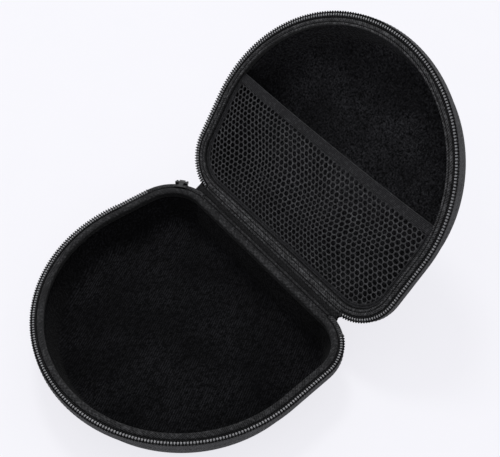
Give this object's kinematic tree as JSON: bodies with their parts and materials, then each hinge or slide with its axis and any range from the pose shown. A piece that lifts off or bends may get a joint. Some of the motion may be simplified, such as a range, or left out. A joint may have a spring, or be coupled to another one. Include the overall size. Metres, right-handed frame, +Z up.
{
  "type": "headphone carrying case",
  "caption": "Hard domed clamshell case for headphones, shown open: two moulded halves, fabric hinge, zip round the rim and a net pocket in the lid.",
  "frame": {"origin": "centre of the base's flat underside", "axes": "+Z up out of the open base, +X along the hinge axis, +Y from the front of the base towards the hinge"},
  "size_m": [0.2, 0.2886, 0.1712],
  "materials": {
    "cover_fabric": "woven polyester, laminated to the shell",
    "shell_foam": "hot-moulded closed-cell foam",
    "lining_fabric": "brushed knit, black",
    "binding_fabric": "twill tape",
    "zip_tape": "woven tape",
    "zip_teeth": "moulded, glossy black",
    "zip_metal": "black lacquer",
    "pocket_net": "knitted hexagon net",
    "pocket_elastic": "woven elastic",
    "pull_rubber": "moulded, matt"
  },
  "bodies": {
    "base": {"base_cover": "cover_fabric", "base_core": "shell_foam", "base_lining": "lining_fabric", "base_rim_binding": "binding_fabric", "base_zip_tape": "zip_tape", "base_zip_teeth": "zip_teeth", "base_zip_stop": "zip_metal", "left_zip_end_cap": "binding_fabric", "right_zip_end_cap": "binding_fabric", "hinge_strip": "binding_fabric"},
    "lid": {"lid_cover": "cover_fabric", "lid_core": "shell_foam", "lid_lining": "lining_fabric", "lid_rim_binding": "binding_fabric", "lid_zip_tape": "zip_tape", "lid_zip_teeth": "zip_teeth", "lid_zip_stops": "zip_metal", "pocket_net": "pocket_net", "pocket_hem": "pocket_elastic", "pocket_edge_tape": "pocket_elastic"},
    "slider": {"slider_body": "zip_metal"},
    "pull": {"pull_link": "zip_metal", "pull_grip": "pull_rubber"}
  },
  "joints": [
    {"name": "lid_hinge", "type": "hinge", "parent": "base", "child": "lid", "pos_m": [0, 0.08262, 0.036], "axis": [-1, 0, 0], "range_deg": [-126.6, 53], "deforming": ["hinge_strip"]},
    {"name": "slider_run", "type": "hinge", "parent": "base", "child": "slider", "pos_m": [-0.0654, 0.04942, 0.036], "axis": [0, 0, 1], "range_deg": [0, 45]},
    {"name": "pull_swing", "type": "hinge", "parent": "slider", "child": "pull", "pos_m": [-0.08836, 0.07678, 0.0338], "axis": [0.766, 0.6428, 0], "range_deg": [-4, 150]}
  ]
}
